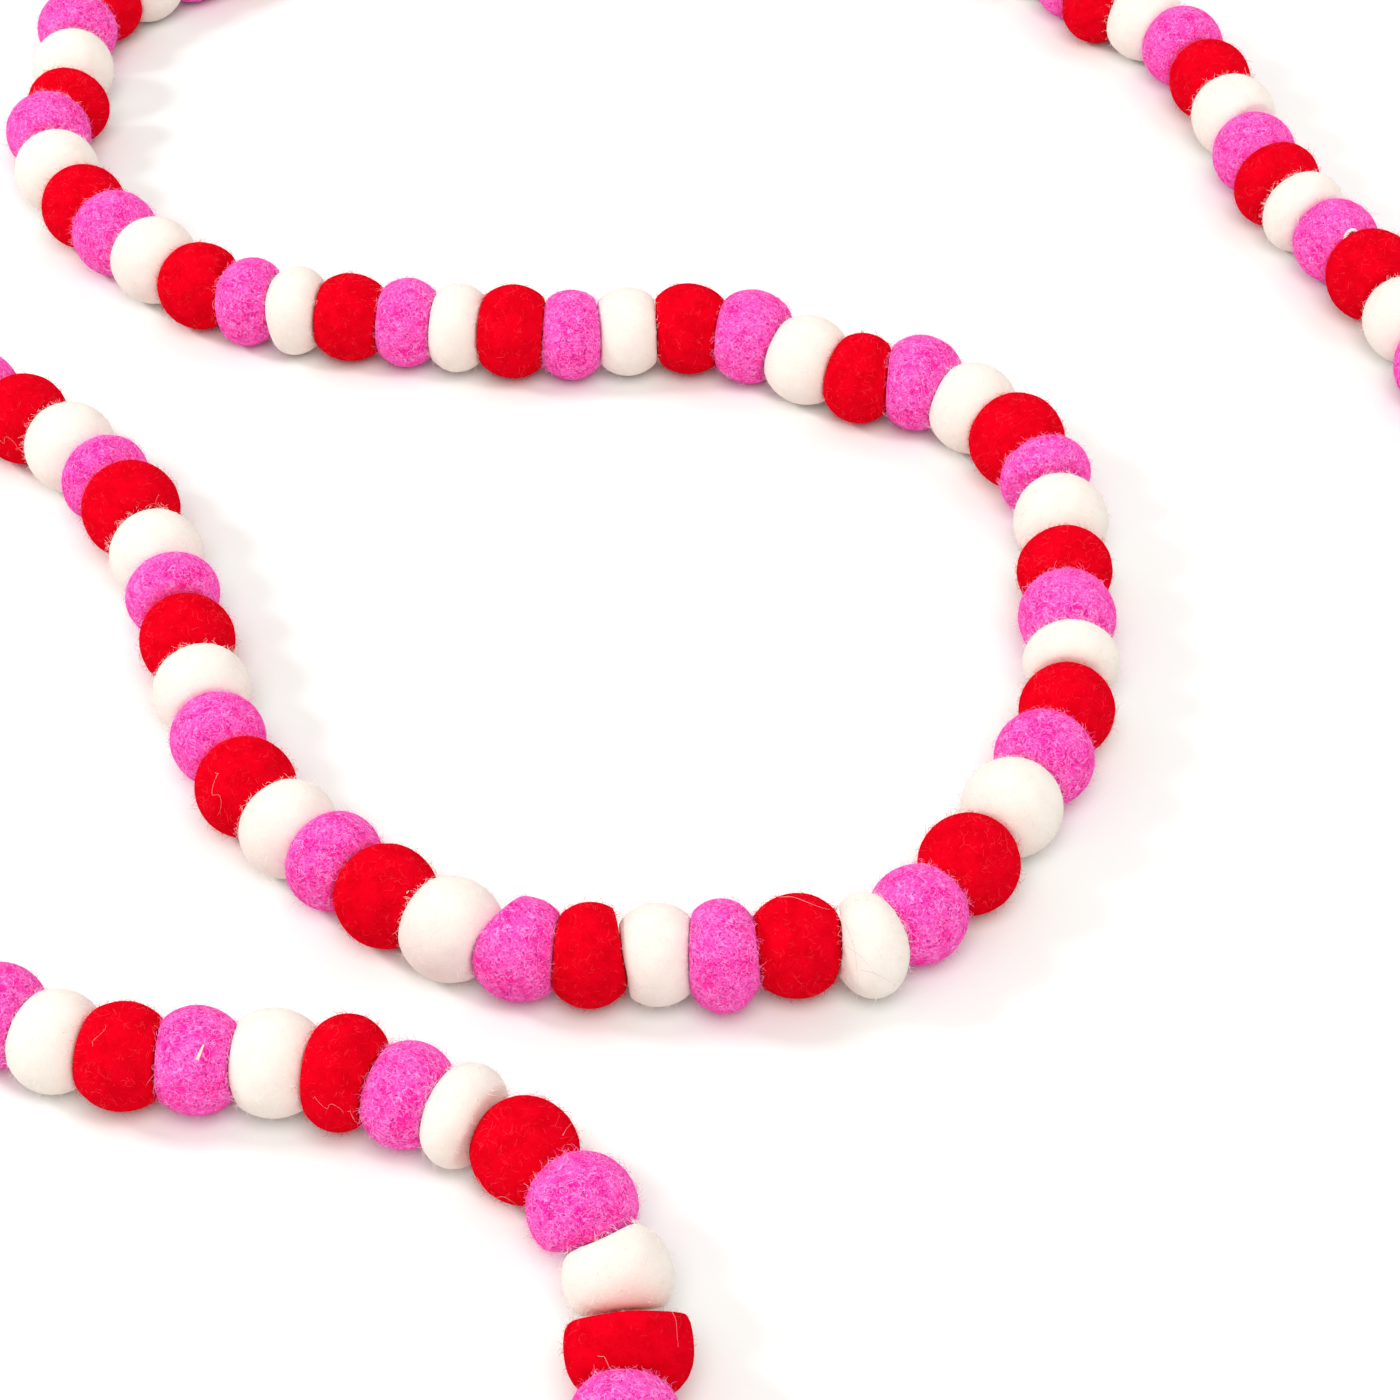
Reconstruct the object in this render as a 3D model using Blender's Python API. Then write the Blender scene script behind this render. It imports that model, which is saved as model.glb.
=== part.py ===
"""Felt ball garland: pink, white and red wool balls threaded tightly on one cotton thread.

The garland lies in long curves on a flat surface. Units are metres, +Z is up and the surface is z = 0.
Seen from the front, +X is to the right and +Y is away. The balls are numbered from 1 along the thread.
"""

import math
import random

import bmesh
import bpy
import numpy as np
from mathutils import Vector

MM = 0.001
GAP = 0.3 * MM

BALL_COUNT = 129
BALL_DIAMETER = 24.6 * MM
BALL_VARIATION = 0.018
SIZE_SEED = 7
BALLS_PER_TRIO = 3
BALL_SIDES = 14
# The two widest sections of a ball lie this share of the spacing apart.
CROWN_SHARE = 0.40
# Half the distance between those sections, in ball radii.
CROWN_REACH = 0.264
LEAST_CONTACT_SHARE = 0.45

THREAD_RADIUS = 0.6 * MM
THREAD_SIDES = 6
CHANNEL_RADIUS = 1.1 * MM
# How far the channel's cutter reaches past the first and last middle, in ball radii.
CHANNEL_REACH = 1.5

# Each end of the thread: distance outwards from the wool and radius, both in mm.
THREAD_END = (
    (0.7, 0.6),
    (1.2, 1.76),
    (2.7, 2.2),
    (4.2, 1.76),
    (4.7, 0.6),
    (8.7, 0.6),
)

WELD_DISTANCE = 0.001 * MM
CUT_TOLERANCE = 0.0001 * MM

# Where the string runs: ball number, x in mm, y in mm.
ROUTE = (
    (1, 273, 70),
    (2, 267, 90),
    (4, 251, 127),
    (6, 238, 151),
    (9, 224, 204),
    (11, 206, 236),
    (12, 194, 244),
    (13, 187, 257),
    (18, 115, 304),
    (22, 49, 315),
    (26, -17, 304),
    (31, -88, 267),
    (33, -113, 244),
    (34, -119, 231),
    (36, -117, 189),
    (37, -121, 176),
    (39, -106, 141),
    (40, -96, 129),
    (42, -69, 105),
    (45, -26, 91),
    (47, 5, 86),
    (49, 35, 83),
    (52, 84, 82),
    (54, 116, 64),
    (55, 130, 62),
    (57, 156, 37),
    (59, 165, 7),
    (61, 164, -30),
    (63, 162, -61),
    (65, 146, -96),
    (67, 122, -130),
    (69, 93, -141),
    (71, 60, -145),
    (72, 46, -144),
    (74, 13, -135),
    (76, -15, -114),
    (78, -39, -89),
    (80, -53, -55),
    (83, -70, -5),
    (86, -98, 37),
    (88, -125, 57),
    (92, -191, 84),
    (96, -252, 55),
    (100, -274, -8),
    (104, -249, -70),
    (108, -193, -107),
    (112, -132, -134),
    (115, -89, -161),
    (117, -59, -173),
    (119, -24, -175),
    (121, 6, -184),
    (124, 45, -214),
    (126, 56, -251),
    (129, 50, -307),
)

# Balls that are plainly larger or smaller than the rest: ball number, diameter in mm.
ODD_SIZES = (
    (3, 26.2),
    (6, 25.8),
    (48, 25.9),
    (52, 25.9),
    (55, 26.1),
    (57, 25.9),
    (63, 23.8),
    (67, 23.9),
    (70, 26.7),
    (79, 23.6),
    (84, 25.9),
    (120, 26.8),
    (126, 27.3),
)

# The round outer end of the first and last ball: distance from its middle and radius, in ball radii.
ROUND_END = ((0.62, 0.785), (0.88, 0.475), (0.985, 0.16))

# The felts in the order of the balls: name and colour.
FELTS = (
    ("pink_felt", (0.86, 0.06, 0.42, 1.0)),
    ("white_felt", (0.93, 0.90, 0.82, 1.0)),
    ("red_felt", (0.74, 0.01, 0.02, 1.0)),
)
FELT_ROUGHNESS = 0.95
THREAD_COLOUR = (0.93, 0.91, 0.86, 1.0)
THREAD_ROUGHNESS = 0.8


def clear_scene():
    for old in list(bpy.data.objects):
        bpy.data.objects.remove(old, do_unlink=True)


def new_collection(name):
    collection = bpy.data.collections.new(name)
    bpy.context.scene.collection.children.link(collection)
    return collection


def new_material(name, colour, roughness):
    material = bpy.data.materials.new(name)
    material.use_nodes = True
    shader = material.node_tree.nodes["Principled BSDF"]
    shader.inputs["Base Color"].default_value = colour
    shader.inputs["Roughness"].default_value = roughness
    shader.inputs["Metallic"].default_value = 0.0
    material.diffuse_color = colour
    return material


class SmoothRoute:
    """A natural cubic spline through the route's rows, by ball number."""

    def __init__(self, rows):
        self.knots = np.array([row[0] for row in rows], float)
        self.places = np.array([row[1:] for row in rows], float) * MM
        spans = np.diff(self.knots)
        slopes = np.diff(self.places, axis=0) / spans[:, None]
        count = len(self.knots)
        matrix = np.eye(count)
        right = np.zeros((count, 2))
        for i in range(1, count - 1):
            matrix[i, i - 1] = spans[i - 1]
            matrix[i, i] = 2 * (spans[i - 1] + spans[i])
            matrix[i, i + 1] = spans[i]
            right[i] = 6 * (slopes[i] - slopes[i - 1])
        self.bends = np.linalg.solve(matrix, right)

    def at(self, number):
        i = int(np.clip(np.searchsorted(self.knots, number) - 1, 0, len(self.knots) - 2))
        span = self.knots[i + 1] - self.knots[i]
        before = (self.knots[i + 1] - number) / span
        after = (number - self.knots[i]) / span
        place = before * self.places[i] + after * self.places[i + 1]
        place = place + (before**3 - before) * self.bends[i] * span**2 / 6
        place = place + (after**3 - after) * self.bends[i + 1] * span**2 / 6
        return Vector((place[0], place[1], 0.0))


def ball_radii():
    """Radius of each ball, by ball number."""
    chance = random.Random(SIZE_SEED)
    radii = {}
    for number in range(1, BALL_COUNT + 1):
        radii[number] = BALL_DIAMETER / 2 * (1 + chance.uniform(-BALL_VARIATION, BALL_VARIATION))
    for number, diameter in ODD_SIZES:
        radii[number] = diameter * MM / 2
    return radii


ROUTE_LINE = SmoothRoute(ROUTE)
RADII = ball_radii()
SIDES_SWELL = 1 / math.sqrt(math.cos(math.pi / BALL_SIDES))
FACET_SHARE = math.cos(math.pi / BALL_SIDES)


def crown_radius(number):
    """The radius of a ball's widest sections, swelled so that its flat sides keep the ball's girth."""
    return RADII[number] * math.sqrt(1 - CROWN_REACH**2) * SIDES_SWELL


def ball_middle(number):
    """The middle of a ball that rests with its lowest facet on the surface."""
    place = ROUTE_LINE.at(number)
    place.z = crown_radius(number) * FACET_SHARE
    return place


def seam_middle(number):
    """The middle of the contact between a ball and the next one."""
    place = ROUTE_LINE.at(number + 0.5)
    place.z = (ball_middle(number).z + ball_middle(number + 1).z) / 2
    return place


def seam_radius(number):
    """The radius of the flat contact between a ball and the next one."""
    smaller = min(RADII[number], RADII[number + 1])
    half_pitch = (ball_middle(number + 1) - ball_middle(number)).length / 2
    contact = math.sqrt(max(smaller**2 - half_pitch**2, 0.0))
    return max(contact, LEAST_CONTACT_SHARE * smaller) * SIDES_SWELL


def seam_direction(number):
    """Which way the string runs at the contact between a ball and the next one."""
    return (ball_middle(number + 1) - ball_middle(number)).normalized()


def end_direction(number):
    """Which way the string leaves the first or the last ball."""
    inward = 1 if number == 1 else -1
    outward = ball_middle(number) - ball_middle(number + inward)
    outward.z = 0.0
    return outward.normalized()


def crown_stations(number):
    """The two widest sections of a ball, level with each other: place and radius."""
    middle = ball_middle(number)
    stations = []
    for side in (-0.5, 0.5):
        place = ROUTE_LINE.at(number + side * CROWN_SHARE)
        place.z = middle.z
        stations.append((place, crown_radius(number)))
    return stations


def round_end(number):
    """The sections of the outer end of the first or last ball, from its middle outwards."""
    middle = ball_middle(number)
    outward = end_direction(number)
    return [(middle + outward * RADII[number] * along, RADII[number] * wide) for along, wide in ROUND_END]


def tube(name, stations, sides, collection, material=None):
    """A round-sided tube through stations of place and radius, as a mesh with closed ends."""
    data = bpy.data.curves.new(name, "CURVE")
    data.dimensions = "3D"
    data.twist_mode = "Z_UP"
    data.fill_mode = "FULL"
    data.bevel_mode = "ROUND"
    data.bevel_depth = MM
    data.bevel_resolution = sides // 2 - 2
    data.use_fill_caps = True
    line = data.splines.new("POLY")
    line.points.add(len(stations) - 1)
    for point, (place, radius) in zip(line.points, stations):
        point.co = (place.x, place.y, place.z, 1.0)
        point.radius = radius / MM
    curve = bpy.data.objects.new(name + "_line", data)
    collection.objects.link(curve)
    bpy.context.view_layer.update()
    graph = bpy.context.evaluated_depsgraph_get()
    mesh = bpy.data.meshes.new_from_object(curve.evaluated_get(graph))
    bpy.data.objects.remove(curve, do_unlink=True)
    bpy.data.curves.remove(data)
    body = bmesh.new()
    body.from_mesh(mesh)
    bmesh.ops.remove_doubles(body, verts=body.verts, dist=WELD_DISTANCE)
    bmesh.ops.recalc_face_normals(body, faces=body.faces)
    body.to_mesh(mesh)
    body.free()
    mesh.name = name
    thing = bpy.data.objects.new(name, mesh)
    collection.objects.link(thing)
    if material:
        mesh.materials.append(material)
    return thing


def cut_square(thing, place, outward):
    """Cuts off what lies outward of a plane and closes the body there."""
    body = bmesh.new()
    body.from_mesh(thing.data)
    everything = body.verts[:] + body.edges[:] + body.faces[:]
    cut = bmesh.ops.bisect_plane(
        body, geom=everything, plane_co=place, plane_no=outward, clear_outer=True, dist=CUT_TOLERANCE
    )
    rim = [item for item in cut["geom_cut"] if isinstance(item, bmesh.types.BMEdge)]
    bmesh.ops.contextual_create(body, geom=rim)
    bmesh.ops.recalc_face_normals(body, faces=body.faces)
    body.to_mesh(thing.data)
    body.free()


def colour_balls(thing, numbers, felts):
    """Gives each face the felt of the ball that it lies on."""
    mesh = thing.data
    mesh.materials.clear()
    for felt in felts:
        mesh.materials.append(felt)
    middles = [ball_middle(number) for number in numbers]
    for face in mesh.polygons:
        distances = [(face.center - middle).length for middle in middles]
        nearest = distances.index(min(distances))
        face.material_index = (numbers[nearest] - 1) % len(felts)
        face.use_smooth = False


def beyond_end(number):
    """A place outside the first or last ball, in line with the string."""
    return ball_middle(number) + end_direction(number) * RADII[number] * CHANNEL_REACH


def thread_channel(name, numbers, cutters):
    """The cutter for the thread's way through a trio."""
    stations = []
    for number in range(numbers[0] - 1, numbers[-1] + 2):
        if number == 0:
            place = beyond_end(1)
        elif number == BALL_COUNT + 1:
            place = beyond_end(BALL_COUNT)
        else:
            place = ball_middle(number)
        stations.append((place, CHANNEL_RADIUS))
    cutter = tube(name + "_channel", stations, THREAD_SIDES, cutters)
    cutter.hide_render = True
    cutter.display_type = "WIRE"
    return cutter


def make_trio(index, parts, cutters, felts):
    """Three balls pressed together, cut square where they meet the trios beside them."""
    first = index * BALLS_PER_TRIO + 1
    numbers = list(range(first, first + BALLS_PER_TRIO))
    last = numbers[-1]
    stations = []
    if first > 1:
        stations.append(crown_stations(first - 1)[1])
        stations.append((seam_middle(first - 1), seam_radius(first - 1)))
    else:
        stations += reversed(round_end(first))
    for number in numbers:
        stations += crown_stations(number)
        if number < last:
            stations.append((seam_middle(number), seam_radius(number)))
    if last < BALL_COUNT:
        stations.append((seam_middle(last), seam_radius(last)))
        stations.append(crown_stations(last + 1)[0])
    else:
        stations += round_end(last)
    name = f"ball_trio_{index + 1:02d}"
    trio = tube(name, stations, BALL_SIDES, parts)
    if first > 1:
        back = -seam_direction(first - 1)
        cut_square(trio, seam_middle(first - 1) - back * GAP / 2, back)
    if last < BALL_COUNT:
        ahead = seam_direction(last)
        cut_square(trio, seam_middle(last) - ahead * GAP / 2, ahead)
    colour_balls(trio, numbers, felts)
    channel = thread_channel(name, numbers, cutters)
    cut = trio.modifiers.new("thread channel", "BOOLEAN")
    cut.operation = "DIFFERENCE"
    cut.object = channel
    return trio


def knot_stations(number):
    """The thread outside the first or last ball: a knot close to the wool, then a short tail."""
    middle = ball_middle(number)
    outward = end_direction(number)
    return [(middle + outward * (RADII[number] + along * MM), wide * MM) for along, wide in THREAD_END]


def make_thread(parts, material):
    """The thread through every ball, with a knot at each end, as one solid."""
    stations = list(reversed(knot_stations(1)))
    stations += [(ball_middle(number), THREAD_RADIUS) for number in range(1, BALL_COUNT + 1)]
    stations += knot_stations(BALL_COUNT)
    return tube("thread", stations, THREAD_SIDES, parts, material)


def main():
    clear_scene()
    parts = new_collection("felt_ball_garland")
    cutters = new_collection("cutters")
    felts = [new_material(name, colour, FELT_ROUGHNESS) for name, colour in FELTS]
    thread_material = new_material("cotton_thread", THREAD_COLOUR, THREAD_ROUGHNESS)
    for index in range(BALL_COUNT // BALLS_PER_TRIO):
        make_trio(index, parts, cutters, felts)
    make_thread(parts, thread_material)


main()
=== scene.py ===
"""Looks of the felt ball garland: wool balls on a thread, laid in curves on a pale floor."""

import math
import random

import bpy
import numpy as np
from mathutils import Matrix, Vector, noise


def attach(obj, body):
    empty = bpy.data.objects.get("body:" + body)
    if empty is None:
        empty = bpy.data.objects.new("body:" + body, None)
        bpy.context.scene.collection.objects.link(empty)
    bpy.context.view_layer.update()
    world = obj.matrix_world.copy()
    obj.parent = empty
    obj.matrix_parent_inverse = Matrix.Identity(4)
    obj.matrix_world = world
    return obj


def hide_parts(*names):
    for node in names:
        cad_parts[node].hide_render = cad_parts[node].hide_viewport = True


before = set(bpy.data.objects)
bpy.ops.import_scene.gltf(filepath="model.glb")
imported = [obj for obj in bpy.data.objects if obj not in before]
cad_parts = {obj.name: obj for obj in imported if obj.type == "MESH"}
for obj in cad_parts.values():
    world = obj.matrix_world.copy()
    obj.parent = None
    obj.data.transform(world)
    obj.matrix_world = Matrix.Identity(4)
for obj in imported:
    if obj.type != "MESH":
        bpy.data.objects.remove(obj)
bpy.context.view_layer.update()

MM = 0.001

# The string of balls, within a few millimetres of the solids.
BALL_COUNT = 129
BALL_DIAMETER = 24.6 * MM
BALL_VARIATION = 0.018
SIZE_SEED = 7
BALLS_PER_TRIO = 3

# Where the string runs: ball number, x in mm, y in mm.
ROUTE = (
    (1, 273, 70),
    (2, 267, 90),
    (4, 251, 127),
    (6, 238, 151),
    (9, 224, 204),
    (11, 206, 236),
    (12, 194, 244),
    (13, 187, 257),
    (18, 115, 304),
    (22, 49, 315),
    (26, -17, 304),
    (31, -88, 267),
    (33, -113, 244),
    (34, -119, 231),
    (36, -117, 189),
    (37, -121, 176),
    (39, -106, 141),
    (40, -96, 129),
    (42, -69, 105),
    (45, -26, 91),
    (47, 5, 86),
    (49, 35, 83),
    (52, 84, 82),
    (54, 116, 64),
    (55, 130, 62),
    (57, 156, 37),
    (59, 165, 7),
    (61, 164, -30),
    (63, 162, -61),
    (65, 146, -96),
    (67, 122, -130),
    (68, 106.8, -141),
    (69, 93.8, -140),
    (70, 77.2, -143.8),
    (71, 60, -142.5),
    (72, 46, -143),
    (74, 13, -135),
    (76, -15, -114),
    (78, -39, -89),
    (80, -53, -55),
    (83, -70, -5),
    (86, -98, 37),
    (88, -125, 57),
    (92, -191, 84),
    (96, -252, 55),
    (100, -274, -8),
    (104, -249, -70),
    (108, -193, -107),
    (112, -132, -134),
    (115, -89, -161),
    (117, -59, -173),
    (119, -24, -175),
    (121, 6, -184),
    (124, 44.2, -213),
    (125, 53, -231.5),
    (126, 56, -251),
    (129, 50, -307),
)

# Balls that are plainly larger or smaller than the rest: ball number, diameter in mm.
ODD_SIZES = (
    (3, 26.2),
    (6, 25.8),
    (48, 25.9),
    (52, 25.9),
    (55, 26.1),
    (57, 25.9),
    (63, 23.8),
    (67, 23.9),
    (70, 26.7),
    (79, 23.6),
    (84, 25.9),
    (120, 26.8),
    (126, 27.3),
)

# Contacts where the softer ball gives way: number of the ball before, shift towards the next ball,
# and how far the contact's edges lean on one side and bend on both sides towards it, as the camera
# sees them, all in mm.
SOFT_CONTACTS = (
    (3, -2, 0, 0),
    (5, 0, -2, 0),
    (6, -1.5, 0, 0),
    (7, 1.5, 3.5, 0),
    (10, -2, 0, 0),
    (34, -2, 0, 0),
    (35, 2.5, 0, 0),
    (36, -2, 0, 0),
    (37, -1.5, 0, 0),
    (38, 1.5, 0, -2.5),
    (42, 1.5, 4.5, 0),
    (43, 0, 2.5, 2),
    (44, -1.5, 0, 0),
    (45, 1, 0, 0),
    (47, -1, 0, 0),
    (51, 1.5, 0, 0),
    (52, 0, 0, -2.5),
    (58, -3, 0, -2.5),
    (59, 2.5, 2.5, 0),
    (61, 1.5, -2, 0),
    (62, -1, 0, 0),
    (63, 3, 0, 0),
    (66, 1.5, 0, -2.5),
    (68, -4, 0, 3),
    (69, 3.5, 0, -3),
    (70, -1.4, 0, 0),
    (71, 0, 2, 0),
    (73, 0, -3, -3),
    (75, 2, 0, 0),
    (76, 0, 0, -3),
    (77, -1.5, 0, 0),
    (80, -2.5, 2.5, 2),
    (81, 1.5, 0, 0),
    (82, -2.5, 0, -3),
    (85, -3, 2.5, -3),
    (118, -1, 0, 2),
    (119, 1, 0, 0),
    (120, -1.5, 0, 0),
    (122, -3, 0, -2),
    (123, 1.5, 0, 0),
    (124, 2, 0, -3),
    (125, 2.4, -0.5, 1.5),
)

# Contacts where a ball hangs over the next one: number of the ball, and how far the contact leans
# over the next ball at a radius above its middle. Their edges are softer than the others.
OVERHANGS = {124: 7 * MM, 125: 10 * MM}

# The runs of balls that the camera sees: first and last ball number.
IN_THE_PICTURE = ((1, 14), (30, 89), (114, 129))

# A ball's own weight flattens it on the floor: height of its middle in radii, and how softly it
# bends there.
REST_SHARE = 0.975
FLOOR_SOFTNESS = 0.25 * MM

# The contact between two balls. A ball squeezed to less than FIRM_SHARE of its radius grows
# flatter, not sharper, down to LEAST_REACH of its radius.
FIRM_SHARE = 0.70
LEAST_REACH = 0.72
SEAM_GAP = 0.06 * MM
SEAM_SOFTNESS = 0.45 * MM
OVERHANG_SOFTNESS = 1.3 * MM
SEAM_RELIEF = 0.30 * MM
SEAM_RELIEF_SIZE = 9 * MM
SEAM_BOW = 0.35 * MM

# A ball pressed into a barrel: its number, how square its outline is, where 2 is round, and the share
# of its own length that is left between its contacts.
BARREL_BALL = 126
BARREL_SQUARENESS = 2.8
BARREL_FIRM_SHARE = 0.93

# Unevenness of the wool: share of the radius, and how many swells there are to a radius. Each ball
# has its own shift in the noise, of up to LUMP_SHIFT radii each way.
LUMPS = ((0.014, 1.3), (0.006, 3.4))
LUMP_SHIFT = 50

# Further from a contact or a limit than so many softnesses, a surface is left as it is.
CONTACT_FREE_FROM = 6
LIMIT_FREE_FROM = 30

# The first number of the random draws for the contacts.
SEAM_SEED = 1000

# Mesh of a ball: rings over its free side, spokes round it and where its hidden rings lie.
CLOSE_RINGS = 18
CLOSE_SPOKES = 48
FAR_RINGS = 12
FAR_SPOKES = 28
HIDDEN_RINGS = (0.95, 0.82, 0.45)

# Angles from a ball's axis at which its free side starts: at an end of the string, and the least one
# at a contact.
FREE_END_ANGLE = 0.35
LEAST_CAP_ANGLE = 0.2

CAMERA_PLACE = (0.071, -0.680, 0.6325)
CAMERA_TILT = 45.0
SENSOR_WIDTH = 36.0
LENS = 91.13
VIEW = Vector((0.0, math.cos(math.radians(CAMERA_TILT)), -math.sin(math.radians(CAMERA_TILT))))


class SmoothRoute:
    """A natural cubic spline through the route's rows, by ball number."""

    def __init__(self, rows):
        self.knots = np.array([row[0] for row in rows], float)
        self.places = np.array([row[1:] for row in rows], float) * MM
        spans = np.diff(self.knots)
        slopes = np.diff(self.places, axis=0) / spans[:, None]
        count = len(self.knots)
        matrix = np.eye(count)
        right = np.zeros((count, 2))
        for i in range(1, count - 1):
            matrix[i, i - 1] = spans[i - 1]
            matrix[i, i] = 2 * (spans[i - 1] + spans[i])
            matrix[i, i + 1] = spans[i]
            right[i] = 6 * (slopes[i] - slopes[i - 1])
        self.bends = np.linalg.solve(matrix, right)

    def at(self, number):
        i = int(np.clip(np.searchsorted(self.knots, number) - 1, 0, len(self.knots) - 2))
        span = self.knots[i + 1] - self.knots[i]
        before = (self.knots[i + 1] - number) / span
        after = (number - self.knots[i]) / span
        place = before * self.places[i] + after * self.places[i + 1]
        place = place + (before**3 - before) * self.bends[i] * span**2 / 6
        place = place + (after**3 - after) * self.bends[i + 1] * span**2 / 6
        return Vector((place[0], place[1], 0.0))


def ball_radii():
    """Radius of each ball, by ball number."""
    chance = random.Random(SIZE_SEED)
    radii = {}
    for number in range(1, BALL_COUNT + 1):
        radii[number] = BALL_DIAMETER / 2 * (1 + chance.uniform(-BALL_VARIATION, BALL_VARIATION))
    for number, diameter in ODD_SIZES:
        radii[number] = diameter * MM / 2
    return radii


# Shader values

class Reading:
    """A value, vector or colour in a material's nodes, which can stand in a sum or product."""

    def __init__(self, finish, socket):
        self.finish = finish
        self.socket = socket

    def maths(self, operation, first, second=0.0):
        return self.finish.node("ShaderNodeMath", {"operation": operation}, {0: first, 1: second})

    def __add__(self, other):
        return self.maths("ADD", self, other)

    def __radd__(self, other):
        return self.maths("ADD", other, self)

    def __sub__(self, other):
        return self.maths("SUBTRACT", self, other)

    def __rsub__(self, other):
        return self.maths("SUBTRACT", other, self)

    def __mul__(self, other):
        return self.maths("MULTIPLY", self, other)

    def __rmul__(self, other):
        return self.maths("MULTIPLY", other, self)

    def __abs__(self):
        return self.maths("ABSOLUTE", self)


class Finish:
    """One material of the garland, made of nodes."""

    def __init__(self, name):
        self.material = bpy.data.materials.new(name)
        self.material.use_nodes = True
        self.surface = self.material.node_tree.nodes["Principled BSDF"]

    def feed(self, socket, value):
        if isinstance(value, Reading):
            self.material.node_tree.links.new(value.socket, socket)
        else:
            socket.default_value = value

    def node(self, kind, settings, values, output=0):
        made = self.material.node_tree.nodes.new(kind)
        for name, setting in settings.items():
            setattr(made, name, setting)
        for name, value in values.items():
            self.feed(made.inputs[name], value)
        return Reading(self, made.outputs[output])

    def shine(self, **values):
        """Sets sockets of the surface, with underscores for the spaces in their names."""
        for name, value in values.items():
            self.feed(self.surface.inputs[name.replace("_", " ")], value)

    def place(self):
        return self.node("ShaderNodeTexCoord", {}, {}, "Object")

    def cloud(self, place, size, detail=1.0, roughness=0.5):
        """Smooth noise about 0.5, with swells of the given size."""
        settings = {"noise_dimensions": "3D"}
        values = {"Vector": place, "Scale": 1 / size, "Detail": detail, "Roughness": roughness}
        return self.node("ShaderNodeTexNoise", settings, values, "Fac")

    def shifted(self, place, shift):
        return self.node("ShaderNodeVectorMath", {"operation": "ADD"}, {0: place, 1: shift}, "Vector")

    def warped(self, place, size, reach, shift):
        """The place moved about at random by up to the reach, so that lines in it curl."""
        moved = self.shifted(place, shift)
        values = {"Vector": moved, "Scale": 1 / size, "Detail": 1.0}
        swirl = self.node("ShaderNodeTexNoise", {"noise_dimensions": "3D"}, values, "Color")
        middle = (-0.5, -0.5, -0.5)
        swirl = self.node("ShaderNodeVectorMath", {"operation": "ADD"}, {0: swirl, 1: middle}, "Vector")
        scaled = {0: swirl, "Scale": 2 * reach}
        swirl = self.node("ShaderNodeVectorMath", {"operation": "SCALE"}, scaled, "Vector")
        return self.node("ShaderNodeVectorMath", {"operation": "ADD"}, {0: moved, 1: swirl}, "Vector")

    def rise(self, value, low, high):
        """0 where the value is under low, 1 where it is over high, and smooth between them."""
        values = {"Value": value, "From Min": low, "From Max": high}
        return self.node("ShaderNodeMapRange", {"interpolation_type": "SMOOTHSTEP"}, values)

    def strands(self, place, size, width, levels):
        """Thin curling lines: where a smooth noise crosses evenly spaced levels."""
        field = self.cloud(place, size) * levels
        wrapped = self.node("ShaderNodeMath", {"operation": "FRACT"}, {0: field})
        return 1 - self.rise(abs(wrapped - 0.5), 0.0, width)

    def blend(self, share, first, second):
        """One colour turning into the other as the share goes from 0 to 1."""
        values = {0: share, 6: first, 7: second}
        return self.node("ShaderNodeMix", {"data_type": "RGBA"}, values, 2)

    def bump(self, height, distance, strength):
        values = {"Height": height, "Distance": distance, "Strength": strength}
        return self.node("ShaderNodeBump", {}, values)


# Colours of the felts: dark gaps, two body tones and pale curls.
PINK_TONES = (
    (0.48, 0.008, 0.22, 1.0),
    (0.88, 0.010, 0.30, 1.0),
    (0.90, 0.065, 0.43, 1.0),
    (0.97, 0.32, 0.72, 1.0),
)
WHITE_TONES = (
    (0.78, 0.69, 0.61, 1.0),
    (0.81, 0.725, 0.65, 1.0),
    (0.83, 0.755, 0.68, 1.0),
    (0.86, 0.80, 0.745, 1.0),
)
RED_TONES = (
    (0.52, 0.0004, 0.006, 1.0),
    (0.60, 0.0004, 0.007, 1.0),
    (0.70, 0.0006, 0.010, 1.0),
    (0.74, 0.004, 0.018, 1.0),
)


# Layers of the wool's surface. Clouds: size of the swells and the values between which they rise.
BLOTCH_SIZE, BLOTCH_RISE = 4.5 * MM, (0.34, 0.60)
PATCH_SIZE, PATCH_RISE = 3 * MM, (0.30, 0.60)
BREAK_SIZE, BREAK_RISE = 0.70 * MM, (0.44, 0.56)
HAZE_SIZE, HAZE_RISE = 0.35 * MM, (0.50, 0.75)

# Strands: size and reach of the warp that curls them, a shift that sets them apart from the others,
# then their own size, width and number of levels.
SPECK_WARP, SPECK_LINES = (2.2 * MM, 1.2 * MM, (0.1, 0.2, 0.3)), (0.95 * MM, 0.24, 2.5)
FINE_WARP, FINE_LINES = (2.6 * MM, 1.4 * MM, (0.7, 0.4, 0.9)), (1.2 * MM, 0.14, 2.5)
LOOSE_WARP, LOOSE_LINES = (2.0 * MM, 1.2 * MM, (0.5, 0.8, 0.2)), (1.7 * MM, 0.11, 3.0)

# How strongly the fine strands and the haze are tinted, how much of the loose strands is left in bare
# patches, and how high the fine and loose strands stand beside the depth of a speck.
FINE_TINT = 0.6
HAZE_TINT = 0.3
LEAST_PATCH = 0.5
FINE_HEIGHT = 0.2
LOOSE_HEIGHT = 0.3
FELT_ROUGHNESS = 0.95
FELT_SHEEN_ROUGHNESS = 0.55


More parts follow.
